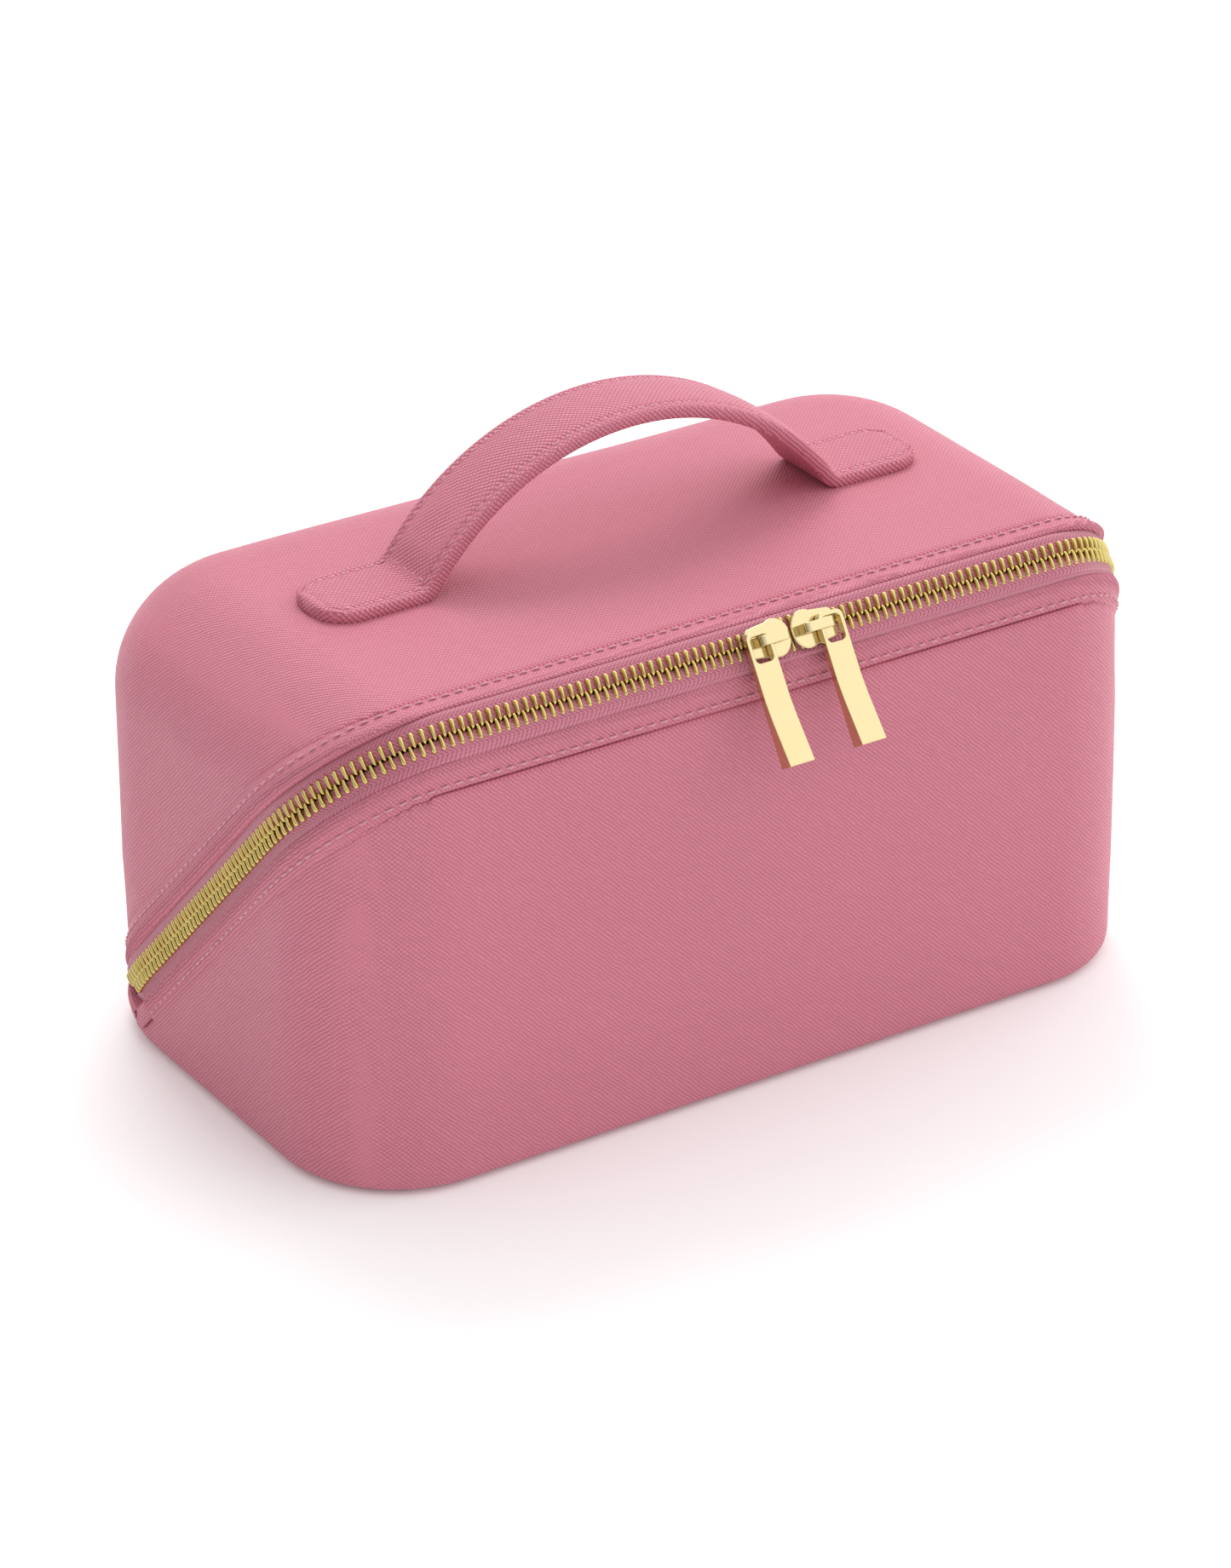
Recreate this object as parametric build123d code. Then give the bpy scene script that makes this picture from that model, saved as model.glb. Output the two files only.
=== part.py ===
from build123d import *
import math
import os

# Zip-round cosmetic case with a carry handle. Two moulded halves of foam-backed faux leather
# meet along one slanting plane that drops from the top front edge to the base at the back. A
# metal zip with two sliders runs along it, and the lid folds back on a soft strip at the bottom
# of the back. X runs along the case, Y from front to back, Z up, with the origin at the centre
# of the base. Millimetres.

# --- case outside ---------------------------------------------------------------------------
LENGTH = 250.0
DEPTH = 140.0
HEIGHT = 127.0
FRONT_LEAN = 3.4         # how far the front wall has leaned back at full height
FRONT_CORNER = 34.0      # plan radius of the front corners
BACK_CORNER = 38.0       # plan radius of the back corners
TOP_ROUND = 30.0         # rounding of the lid's ends and back into its top
BASE_ROUND = 4.0

# --- wall, from the outside in --------------------------------------------------------------
SHELL = 4.2              # faux leather bonded to moulded foam
LINING = 0.8
WALL = SHELL + LINING
BOARD = 1.6              # stiffeners buried in the shells
PROUD = 0.3              # how far the rolled rims stand out of the walls

# --- parting plane: SLOPE * y + z is constant on it --------------------------------------------
SLOPE = 1.03
NORM = math.hypot(SLOPE, 1.0)
ACROSS = Vector(0, SLOPE / NORM, 1 / NORM)         # across the zip, from the tray to the lid
OUTWARD = Vector(0, -1 / NORM, SLOPE / NORM)       # out of the case, in the parting plane
ZIP_FRONT = Vector(0, -63.3, 123.4)                # zip centre line along the straight front
ZIP_LEVEL = ZIP_FRONT.dot(ACROSS)
TRAY_RIM = ZIP_LEVEL - 6.6                         # levels of the two rims, measured along ACROSS
LID_RIM = ZIP_LEVEL + 6.4
RIM = 5.0                                          # height of the rolled rims
BACK_RIM = 4.0                                     # the same, where they run level at the back
HINGE_Z = 9.0
SEAM = 0.2                                         # half the gap between the level rims

# --- zip ------------------------------------------------------------------------------------
ZIP_SIDE = 124.3         # distance of the zip from the middle of the case, along the ends
ZIP_CORNER = (35.0, 46.0)   # half axes of its elliptical corners, across and down the plane
ZIP_TOP = ZIP_FRONT.dot(OUTWARD)
ZIP_TURN = (DEPTH / 2 - BACK_CORNER - ACROSS.Y * ZIP_LEVEL) / -OUTWARD.Y    # where its feet turn inwards
ZIP_FOOT = -40.0         # below the level seam, where the tapes are trimmed
TAPE = 0.6
TAPE_LEAN = 13.0         # degrees that the zip leans at the front
TAPE_KNEE = 5.4          # where the tapes turn in towards their rims, past the sliders' edges
TAPE_BEND = (45.0, 62.0)    # degrees that the lower and the upper tape turn in there
TAPE_SET = 0.15          # how far the upper tape lies in from the zip's centre line
TAPE_TUCK = 4.0          # how far a tape reaches into its rim
TAPE_SLANT = 44.0        # degrees that it leans in there
TUCK_DEPTH = (0.3, 4.0)  # the part of the wall that it keeps to
PITCH = 2.6
TOOTH = 1.2              # along the zip
TOOTH_SPAN = 3.0         # across it
TOOTH_THICK = 2.2
TOOTH_GAP = 0.15
CRIMP = 1.0              # how far the teeth grip over the tape's edge

# --- sliders and pulls -----------------------------------------------------------------------
SLIDERS_MEET = 7.2
SLIDER_LENGTH = 13.0
SLIDER_WIDE = 10.0
SLIDER_NARROW = 7.4
SLIDER_GAP = 3.6
PLATE = 0.9
BRIDGE_REACH = 9.0
BRIDGE_WIDTH = 2.6
BRIDGE_BAR = 1.0
BRIDGE_RISE = 3.0
PULL_LENGTH = 34.5
PULL_WIDTH = 7.4
PULL_THIN = 2.0          # at the slot
PULL_THICK = 4.4         # at the heavy lower end
PULL_SLOT = (5.2, 6.8)
PULL_WALL = 1.1          # above the slot
PULL_PLAY = 0.45         # between a pull and its slider's plate
PULL_OFFSET = 4.1        # of a pull from the middle of its slider, towards the narrow end

# --- handle -----------------------------------------------------------------------------------
HANDLE_Y = 4.5
HANDLE_WIDTH = 24.0
HANDLE_THICK = 4.0
HANDLE_RISE = 33.5       # free height under the strap
HANDLE_FOOT = 64.5       # where the strap leaves the lid
HANDLE_END = 91.0
HANDLE_RADIUS = 71.0
BACKING = 1.0
PADDING = 1.8

# --- inside -----------------------------------------------------------------------------------
DIVIDER = 5.0
DIVIDER_TOP = 44.0
DIVIDER_Y = -5.0
CROSS_X = 40.0
POCKET = (180.0, 72.0, 3.0)
POCKET_Y = 0.0
ELASTIC = (9.0, 1.0)
FAR = 400.0


def plan(inset, front, back, front_radius, back_radius):
    """Outline of the case from above, from y = front to y = back."""
    half = LENGTH / 2 - inset
    outline = Pos(0, (front + back) / 2) * Rectangle(2 * half, back - front)
    corners = outline.vertices().group_by(Axis.Y)
    if front_radius:
        outline = fillet(corners[0], front_radius)
        corners = outline.vertices().group_by(Axis.Y)
    if back_radius:
        outline = fillet(corners[-1], back_radius)
    return outline


def tray_block(inset):
    """The case below the zip, upright at the back and leaning back at the front."""
    low = inset
    tall = HEIGHT + 10 - low
    lean = Vector(0, FRONT_LEAN / HEIGHT, 1)
    front_plan = plan(inset, -DEPTH / 2 + inset, 0, FRONT_CORNER - inset, 0)
    back_plan = plan(inset, -20, DEPTH / 2 - inset, 0, BACK_CORNER - inset)
    front_part = extrude(Pos(0, 0, low) * front_plan, amount=tall * lean.length, dir=lean)
    back_part = extrude(Pos(0, 0, low) * back_plan, amount=tall)
    block = (front_part + back_part).clean()
    if inset < BASE_ROUND - 1:
        edges = block.faces().sort_by(Axis.Z)[0].edges()
        block = fillet(edges, BASE_ROUND - inset)
    return block


def lid_block(inset):
    """The case above the zip, running on in front so that only the ends and back are rounded."""
    outline = plan(inset, -DEPTH, DEPTH / 2 - inset, 0, BACK_CORNER - inset)
    block = extrude(Pos(0, 0, -20) * outline, amount=HEIGHT - inset + 20)
    rim = block.faces().sort_by(Axis.Z)[-1].edges()
    front_edge = rim.sort_by(Axis.Y)[0]
    return fillet([edge for edge in rim if edge != front_edge], TOP_ROUND - inset)


def case_block(inset):
    return tray_block(inset) & lid_block(inset)


def below(level, seam):
    """Everything under the slanting plane at level, or under the level seam at the back."""
    slant = Plane(origin=ACROSS * level, x_dir=(1, 0, 0), z_dir=-ACROSS)
    flat = Plane(origin=(0, 0, seam), x_dir=(1, 0, 0), z_dir=(0, 0, -1))
    halves = [extrude(plane * Rectangle(FAR, 2 * FAR), amount=FAR) for plane in (slant, flat)]
    return halves[0] + halves[1]


# ------------------------------------------------------------------------ shells and linings
def halves():
    """Shell, lining and rim of the tray and of the lid."""
    outer, middle, inner = (case_block(inset) for inset in (0, SHELL, WALL))
    rolled = case_block(-PROUD) - inner
    tray_top = below(TRAY_RIM, HINGE_Z - SEAM)
    tray_cut = below(TRAY_RIM - RIM, HINGE_Z - SEAM - BACK_RIM)
    lid_cut = below(LID_RIM, HINGE_Z + SEAM)
    lid_top = below(LID_RIM + RIM, HINGE_Z + SEAM + BACK_RIM)
    return {
        "tray_shell": (outer - middle) & tray_cut,
        "tray_lining": (middle - inner) & tray_cut,
        "tray_rim_binding": (rolled & tray_top) - tray_cut,
        "lid_shell": (outer - middle) - lid_top,
        "lid_lining": (middle - inner) - lid_top,
        "lid_rim_binding": (rolled & lid_top) - lid_cut,
    }


def base_board():
    inset = 12.0
    outline = plan(inset, -DEPTH / 2 + inset, DEPTH / 2 - inset, FRONT_CORNER - inset, BACK_CORNER - inset)
    return extrude(Pos(0, 0, SHELL - BOARD) * outline, amount=BOARD)


def lid_board():
    outline = Pos(0, 8) * RectangleRounded(188, 76, 16)
    return extrude(Pos(0, 0, HEIGHT - SHELL) * outline, amount=BOARD)


def anchor_plates():
    """Plates that the handle's ends are sewn through, bedded in the lid over the board."""
    plate = extrude(RectangleRounded(20, 18, 3), amount=0.8)
    middle = (HANDLE_FOOT + HANDLE_END) / 2
    bed = HEIGHT - SHELL + BOARD
    return [Pos(side * middle, HANDLE_Y, bed) * plate for side in (-1, 1)]


def hinge_strip():
    """Soft strip let into both rims at the back, which the lid folds on."""
    straight = LENGTH - 2 * BACK_CORNER - 6
    tall = 2 * BACK_RIM + 2 * SEAM
    return Pos(0, DEPTH / 2 - 0.1, HINGE_Z) * Box(straight, 1.0, tall)


# ----------------------------------------------------------------------------------------- zip
def zip_plane(offset):
    """Plane across the zip, offset from its centre line towards the lid."""
    return Plane(origin=ACROSS * (ZIP_LEVEL + offset), x_dir=(1, 0, 0), z_dir=ACROSS)


def zip_path(inset):
    """The zip's path seen along ACROSS, from the left foot to the right one: y runs into the case."""
    half, top, foot = ZIP_SIDE - inset, -(ZIP_TOP - inset), -ZIP_FOOT
    wide, deep = (axis - inset for axis in ZIP_CORNER)
    turn = BACK_CORNER - inset
    slant = turn / -OUTWARD.Y
    sweep = math.degrees(math.asin((foot - ZIP_TURN) / slant))
    return [
        EllipticalCenterArc((turn - half, ZIP_TURN), turn, slant, 180 - sweep, arc_size=sweep),
        Line((-half, ZIP_TURN), (-half, top + deep)),
        EllipticalCenterArc((wide - half, top + deep), wide, deep, 180, arc_size=90),
        Line((wide - half, top), (half - wide, top)),
        EllipticalCenterArc((half - wide, top + deep), wide, deep, 270, arc_size=90),
        Line((half, top + deep), (half, ZIP_TURN)),
        EllipticalCenterArc((half - turn, ZIP_TURN), turn, slant, 0, arc_size=sweep),
    ]


def arch(inset):
    """The face enclosed by the zip's path."""
    path = zip_path(inset)
    return make_face(path + [Line(path[-1] @ 1, path[0] @ 0)])


def tape(start, end, inset, lean):
    """Band of tape between two offsets across the zip, running into the case by lean degrees."""
    deeper = inset + math.tan(math.radians(lean)) * abs(end - start)
    skins = []
    for skin in (-TAPE / 2, TAPE / 2):
        faces = [zip_plane(start) * arch(inset + skin), zip_plane(end) * arch(deeper + skin)]
        skins.append(loft(faces, ruled=True))
    return skins[0] - skins[1]


def zip_tape(side, rim, inset, lean, bend):
    """Tape from the teeth to inside its rim: what shows between the halves, and what is tucked in."""
    grip = side * (TOOTH_GAP + TOOTH_SPAN - CRIMP)
    knee = side * TAPE_KNEE
    inset_at_knee = inset + math.tan(math.radians(lean)) * abs(knee - grip)
    inset_at_rim = inset_at_knee + math.tan(math.radians(bend)) * abs(rim - knee)
    shown = tape(grip, knee, inset, lean) + tape(knee, rim, inset_at_knee, bend)
    tucked = tape(rim, rim + side * TAPE_TUCK, inset_at_rim, TAPE_SLANT)
    outermost, innermost = TUCK_DEPTH
    return shown & case_block(-PROUD), tucked & case_block(outermost) - case_block(innermost)


def lower_tape():
    inset = math.tan(math.radians(TAPE_LEAN)) * (TOOTH_GAP + TOOTH_SPAN - CRIMP)
    shown, tucked = zip_tape(-1, TRAY_RIM - ZIP_LEVEL, inset, TAPE_LEAN, TAPE_BEND[0])
    return (shown + tucked) & above_seam(HINGE_Z - SEAM)


def upper_tape():
    shown, tucked = zip_tape(1, LID_RIM - ZIP_LEVEL, TAPE_SET, 0, TAPE_BEND[1])
    seam = HINGE_Z + SEAM
    return (shown & above_seam(seam)) + (tucked & above_seam(seam + BACK_RIM))


def above_seam(seam):
    return Pos(0, 0, seam + FAR / 2) * Box(FAR, FAR, FAR)


def zip_station(path, run):
    """Position, direction, outward normal and lean of the zip at a distance from its middle."""
    along_path = path.length / 2 + run
    flat = path.position_at(along_path, position_mode=PositionMode.LENGTH)
    way = path.tangent_at(along_path, position_mode=PositionMode.LENGTH)
    point = Vector(flat.X, 0, 0) + ACROSS * ZIP_LEVEL - OUTWARD * flat.Y
    along = Vector(way.X, 0, 0) - OUTWARD * way.Y
    normal = ACROSS.cross(along) * -1
    lean = math.radians(TAPE_LEAN) * abs(way.X) ** 2
    return point, along, normal, lean


def spread(run):
    """How far each row of teeth stands off the centre line around the sliders' wedges."""
    reach = abs(run - SLIDERS_MEET)
    if reach > 12:
        return 0.0
    if reach < 5:
        return 1.3
    return 1.3 * (12 - reach) / 7


def teeth(side):
    """One row of teeth: side is 1 on the lid and -1 on the tray."""
    row = []
    path = Wire(zip_path(0))
    count = int(path.length / 2 / PITCH)
    lowest = HINGE_Z + 2.5
    for index in range(-count + 1, count):
        run = (index + (0.5 if side > 0 else 0.0)) * PITCH
        point, along, normal, lean = zip_station(path, run)
        outward = normal * math.cos(lean) - ACROSS * math.sin(lean)
        middle = TOOTH_GAP + TOOTH_SPAN / 2 + spread(run)
        place = Plane(origin=point, x_dir=along, z_dir=outward) * Pos(0, side * middle, 0)
        tooth = place * Box(TOOTH, TOOTH_SPAN, TOOTH_THICK)
        if tooth.bounding_box().min.Z > lowest:
            row.append(tooth)
    return Compound(children=row)


# ------------------------------------------------------------------------- sliders and pulls
def slider_plane(centre):
    lean = math.radians(TAPE_LEAN)
    outward = OUTWARD * math.cos(lean) - ACROSS * math.sin(lean)
    return Plane(origin=ZIP_FRONT + Vector(centre, 0, 0), x_dir=(1, 0, 0), z_dir=outward)


def slider_outline():
    """Shield shape with its broad end at +X."""
    broad = Pos(SLIDER_LENGTH / 2 - 4.4) * Ellipse(4.4, SLIDER_WIDE / 2)
    half = SLIDER_LENGTH / 2
    neck = Polyline((-half, -SLIDER_NARROW / 2), (half - 5, -4.6), (half - 5, 4.6),
                    (-half, SLIDER_NARROW / 2), close=True)
    neck = fillet(make_face(neck).vertices().group_by(Axis.X)[0], 1.6)
    return broad + neck


def slider_body():
    outline = slider_outline()
    gap = SLIDER_GAP / 2
    top = extrude(Pos(0, 0, gap) * outline, amount=PLATE)
    bottom = extrude(Pos(0, 0, -gap - PLATE) * outline, amount=PLATE)
    wedge = Pos(SLIDER_LENGTH / 2 - 3.4) * Box(3.0, 1.8, SLIDER_GAP)
    edges = [edge for edge in top.edges().group_by(Axis.Z)[-1]]
    return fillet(edges, 0.35) + bottom + wedge


def slider_bridge():
    """Arched bar along the slider that the pull is threaded on."""
    foot = SLIDER_GAP / 2 + PLATE
    crown = foot + BRIDGE_RISE + BRIDGE_BAR
    half = BRIDGE_REACH / 2
    outer = Pos(0, (foot + crown) / 2) * Rectangle(BRIDGE_REACH, crown - foot)
    outer = fillet(outer.vertices().group_by(Axis.Y)[-1], 1.6)
    hole = Pos(0, foot + BRIDGE_RISE / 2) * Rectangle(2 * (half - BRIDGE_BAR), BRIDGE_RISE)
    hole = fillet(hole.vertices().group_by(Axis.Y)[-1], 0.8)
    side = Plane(origin=(0, 0, 0), x_dir=(1, 0, 0), z_dir=(0, -1, 0)) * (outer - hole)
    return extrude(side, amount=BRIDGE_WIDTH / 2, both=True)


def pull():
    """Pull tab hanging along -Y, with the bridge's end foot at the top of its slot."""
    slot_wide, slot_long = PULL_SLOT
    slot_top = BRIDGE_WIDTH / 2 + 0.3
    top = slot_top + PULL_WALL
    bottom = top - PULL_LENGTH
    low, high = -PULL_THIN / 2, PULL_THIN / 2
    heavy = high + PULL_THICK - PULL_THIN
    side = Polyline((top, low), (bottom, low), (bottom, heavy), (bottom + 12, high + 0.5),
                    (bottom + 17, high), (top, high), close=True)
    profile = Plane(origin=(0, 0, 0), x_dir=(0, 1, 0), z_dir=(1, 0, 0)) * make_face(side)
    blank = extrude(profile, amount=PULL_WIDTH / 2, both=True)
    corners = blank.edges().filter_by(Axis.Z).group_by(Axis.Y)[-1]
    blank = fillet(corners, 1.8)
    slot = Pos(0, slot_top - slot_long / 2) * RectangleRounded(slot_wide, slot_long, 1.2)
    return blank - extrude(slot, amount=10, both=True)


def slider_set(side):
    """Body, bridge and pull of the slider on one side of where the two meet."""
    centre = SLIDERS_MEET + side * (SLIDER_LENGTH / 2 + 0.2)
    plane = slider_plane(centre)
    broad_in = Rot(0, 0, 0) if side < 0 else Rot(0, 0, 180)
    hang = SLIDER_GAP / 2 + PLATE + PULL_PLAY + PULL_THIN / 2
    return (
        plane * broad_in * slider_body(),
        plane * broad_in * slider_bridge(),
        plane * Pos(side * PULL_OFFSET, 0, hang) * pull(),
    )


# ---------------------------------------------------------------------------------------- handle
def handle_line(offset):
    """Edges of the strap's side view at a distance above its underside, left to right."""
    angle = 2 * math.atan(HANDLE_RISE / HANDLE_FOOT)
    bend = HANDLE_FOOT / math.sin(angle) - HANDLE_RADIUS - offset
    crown = HANDLE_RADIUS + offset
    centre = HEIGHT + HANDLE_RISE - HANDLE_RADIUS
    base = HEIGHT + offset

    def on_bend(turn):
        return (HANDLE_FOOT - bend * math.sin(turn), base + bend * (1 - math.cos(turn)))

    right = [(HANDLE_END + 5, base), on_bend(0), on_bend(angle / 2), on_bend(angle)]
    left = [(-x, z) for x, z in right]
    return [
        Line(left[0], left[1]),
        ThreePointArc(left[1], left[2], left[3]),
        ThreePointArc(left[3], (0, centre + crown), right[3]),
        ThreePointArc(right[3], right[2], right[1]),
        Line(right[1], right[0]),
    ]


def strap(width, low, high, shorter, radius):
    """Strap layer between two heights, with rounded ends."""
    under, over = handle_line(low), handle_line(high)
    ends = [Line(under[0] @ 0, over[0] @ 0), Line(under[-1] @ 1, over[-1] @ 1)]
    face = make_face(under + over + ends)
    side = Plane(origin=(0, HANDLE_Y, 0), x_dir=(1, 0, 0), z_dir=(0, -1, 0)) * face
    band = extrude(side, amount=width / 2, both=True)
    outline = Pos(0, HANDLE_Y, HEIGHT - 1) * RectangleRounded(2 * (HANDLE_END - shorter), width, radius)
    return band & extrude(outline, amount=HANDLE_RISE + 20)


def handle():
    whole = strap(HANDLE_WIDTH, 0, HANDLE_THICK, 0, 10)
    backing = strap(HANDLE_WIDTH - 3, 0, BACKING, 1.5, 8.5)
    padding = strap(HANDLE_WIDTH - 6, BACKING, BACKING + PADDING, 3, 7)
    return {
        "handle_cover": whole - backing - padding,
        "handle_backing": backing,
        "handle_padding": padding,
    }


# ---------------------------------------------------------------------------------------- inside
def dividers():
    """Loose padded dividers standing on the tray's lining."""
    tall = DIVIDER_TOP - WALL
    half = LENGTH / 2 - WALL - 0.5
    long = Pos(0, DIVIDER_Y, WALL + tall / 2) * Box(2 * half, DIVIDER, tall)
    front = -DEPTH / 2 + WALL + 4.2
    reach = DIVIDER_Y - DIVIDER / 2 - 0.3 - front
    cross = Box(DIVIDER, reach, tall - 3)
    place = (front + reach / 2, WALL + (tall - 3) / 2)
    return long, [Pos(x, *place) * cross for x in (-CROSS_X, CROSS_X)]


def lid_pocket():
    """Flat mesh pocket under the lid's top, with an elastic band at its mouth."""
    length, deep, thick = POCKET
    wide, proud = ELASTIC
    top = HEIGHT - WALL
    pouch = Pos(0, POCKET_Y, top - thick / 2) * Box(length, deep, thick)
    mouth = POCKET_Y - deep / 2 - wide / 2
    band = Pos(0, mouth, top - (thick + proud) / 2) * Box(length, wide, thick + proud)
    return pouch, band


def build():
    parts = halves()
    board, stiffener, plates = base_board(), lid_board(), anchor_plates()
    strip = hinge_strip()
    tapes = lower_tape(), upper_tape()
    parts["tray_shell"] -= board
    parts["lid_shell"] = parts["lid_shell"] - stiffener - plates
    parts["tray_rim_binding"] = parts["tray_rim_binding"] - strip - tapes[0]
    parts["lid_rim_binding"] = parts["lid_rim_binding"] - strip - tapes[1]
    parts["base_board"] = board
    parts["lid_board"] = stiffener
    parts["handle_anchor_plates"] = Compound(children=plates)
    parts["hinge_strip"] = strip
    parts["lower_zip_tape"], parts["upper_zip_tape"] = tapes
    parts["lower_zip_teeth"], parts["upper_zip_teeth"] = teeth(-1), teeth(1)
    for name, side in (("left", -1), ("right", 1)):
        body, bridge, tab = slider_set(side)
        parts[name + "_slider"] = body
        parts[name + "_slider_bridge"] = bridge
        parts[name + "_zip_pull"] = tab
    parts.update(handle())
    parts["long_divider"], crosses = dividers()
    parts["left_cross_divider"], parts["right_cross_divider"] = crosses
    parts["lid_pocket"], parts["pocket_elastic"] = lid_pocket()
    return parts


os.makedirs("parts", exist_ok=True)
for node, solid in build().items():
    export_step(solid, f"parts/{node}.step")
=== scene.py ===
import math
from functools import reduce

import bmesh
import bpy
import numpy as np
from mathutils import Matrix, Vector, noise
from mathutils.bvhtree import BVHTree

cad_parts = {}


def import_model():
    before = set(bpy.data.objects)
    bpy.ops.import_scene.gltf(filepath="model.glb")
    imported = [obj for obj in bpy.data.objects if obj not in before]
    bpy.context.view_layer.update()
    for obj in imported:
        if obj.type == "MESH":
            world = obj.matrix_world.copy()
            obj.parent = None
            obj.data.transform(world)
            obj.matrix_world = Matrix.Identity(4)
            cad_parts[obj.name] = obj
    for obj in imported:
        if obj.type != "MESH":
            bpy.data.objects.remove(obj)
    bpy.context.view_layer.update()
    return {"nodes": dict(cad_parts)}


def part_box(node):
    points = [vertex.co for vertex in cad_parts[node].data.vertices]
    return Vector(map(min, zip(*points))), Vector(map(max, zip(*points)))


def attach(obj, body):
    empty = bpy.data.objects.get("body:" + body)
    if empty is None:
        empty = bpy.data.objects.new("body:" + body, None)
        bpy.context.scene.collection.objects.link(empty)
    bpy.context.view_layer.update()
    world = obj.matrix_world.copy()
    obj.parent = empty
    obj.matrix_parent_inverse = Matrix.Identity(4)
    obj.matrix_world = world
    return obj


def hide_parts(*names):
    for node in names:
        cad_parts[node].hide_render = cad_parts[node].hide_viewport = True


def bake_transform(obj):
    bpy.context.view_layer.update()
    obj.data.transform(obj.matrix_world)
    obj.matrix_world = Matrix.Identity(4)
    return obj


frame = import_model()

# Looks for the zip-round cosmetic case. Metres, in the CAD's frame. Every curve is read off the
# CAD nodes by casting rays at them, so the pieces follow the solids.
MM = 0.001
NODES = frame["nodes"]
X, Y, Z = Vector((1, 0, 0)), Vector((0, 1, 0)), Vector((0, 0, 1))
REACH = 0.4              # where rays start, outside the case
NEAR_SIDE = 20 * MM      # from their centre, within which they have missed the wall
ARCH_CENTRE = 50 * MM    # of the rays round the front and the ends, out along the parting plane
ARCH_SWEEP = (213, -33, 1500)      # first and last angle, and how many rays
BACK_CENTRE = 10 * MM    # of the rays round the back, behind the middle
BACK_SWEEP = (-8, 188, 900)
END_ZONE = 9 * MM        # from the ends, where low points still count as the arch
LOW_ZONE = 30 * MM       # height below which points are low
END_TRIM = 3             # points dropped where an arch ends, as they graze its corner

# --- sewn details -----------------------------------------------------------------------------
RIB_PITCH = 1.2 * MM     # of the pressed grain where the leather is rolled
RIB_DEPTH = 0.20 * MM
STITCH_PITCH = 3.7 * MM
STITCH_LENGTH = 2.5 * MM
THREAD = 0.33 * MM       # radius
STITCH_INSET = 4.2 * MM  # of the seams from the rims
SWELL = 0.9 * MM         # how far the soft walls stand out between their edges
FADE = 22 * MM           # from the rims, over which they do
SHELL_VOXEL = 1.3 * MM
STRAP_EDGE = 1.7 * MM    # radius of the strap's rolled edge
STRAP_SEAM = 2.9 * MM    # inset of the strap's stitching
STRAP_THICK = 4.0 * MM
STRAP_HALF = 12 * MM     # of the width that its section is drawn for
STRAP_END = 10 * MM      # radius of its rounded ends
STRAP_CROSS = 29.5 * MM  # of the cross seams from its ends
GROOVE_DEEP = 0.45 * MM  # of the channel that the strap's stitching sinks
GROOVE_WIDE = 0.7 * MM
PAD_HEIGHT = 0.7 * MM
PAD_SWELL = 0.7 * MM     # of the dividers
PAD_VOXEL = 2.4 * MM
PAD_SLIM = 0.86          # of a divider's thickness before it is blown up
HINGE_PROUD, HINGE_BULGE, HINGE_THICK = 0.3 * MM, 0.5 * MM, 1.2 * MM

PINK = (0.74, 0.25, 0.33)
# painted shade: the darker pink that low parts of the leather grain and of the woven cloths are mixed
# towards
PINK_SHADE = (0.36, 0.085, 0.125)
PINK_TAPE = (0.66, 0.22, 0.30)
THREAD_PINK = (0.80, 0.36, 0.44)
LINING_PINK = (0.72, 0.36, 0.42)
GOLD = (0.72, 0.60, 0.35)
TOOTH_GOLD = (0.80, 0.65, 0.26)
GOLD_DULL = (0.72, 0.56, 0.27)
TOOTH_DULL = (0.52, 0.41, 0.12)
WEBBING_PINK = (0.66, 0.28, 0.36)
NET_PINK = (0.62, 0.25, 0.33)

# --- the studio -------------------------------------------------------------------------------
SKY_HORIZON, SKY_TOP, SKY_SIDE = 0.40, 1.10, 0.60
SKY_RISE = 0.42          # height at which the sky reaches its full brightness
FLOOR_TONE, FLOOR_GLOW = 0.97, 0.07
AZIMUTH, ELEVATION, DISTANCE = -33.16, 27.43, 1.5485
FOCAL = 136.7            # millimetres on a picture 36 mm high
SHIFT = (-0.0043, -0.0170)
AIM = Vector((0, 0, 0.0637))


# ----------------------------------------------------------------------------- reading the frame
def tree_of(*names):
    verts, polygons = [], []
    for name in names:
        mesh = NODES[name].data
        first = len(verts)
        verts += [vertex.co.copy() for vertex in mesh.vertices]
        polygons += [[first + index for index in face.vertices] for face in mesh.polygons]
    return BVHTree.FromPolygons(verts, polygons)


def slant_faces(node, facing):
    """The node's faces cut by the parting plane, given the rough direction that they face."""
    faces = NODES[node].data.polygons
    return [face for face in faces if face.normal.dot(facing) > 0.985 and abs(face.normal.x) < 1e-3]


def read_parting():
    """Direction across the zip, out of the case in the parting plane, and the rims' levels."""
    rough = (Y + Z).normalized()
    tray_cut = slant_faces("tray_rim_binding", rough)
    lid_cut = slant_faces("lid_rim_binding", -rough)
    across = sum((face.normal * face.area for face in tray_cut), Vector()).normalized()
    levels = []
    for node, cut in (("tray_rim_binding", tray_cut), ("lid_rim_binding", lid_cut)):
        mesh = NODES[node].data
        levels.append(across.dot(mesh.vertices[cut[0].vertices[0]].co))
    return across, Vector((0, -across.z, across.y)), levels[0], levels[1]


ACROSS, OUT, TRAY_EDGE, LID_EDGE = read_parting()
SEAM_Z = (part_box("hinge_strip")[0].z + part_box("hinge_strip")[1].z) / 2
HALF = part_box("tray_rim_binding")[1].x
LID_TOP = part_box("lid_shell")[1].z


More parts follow.
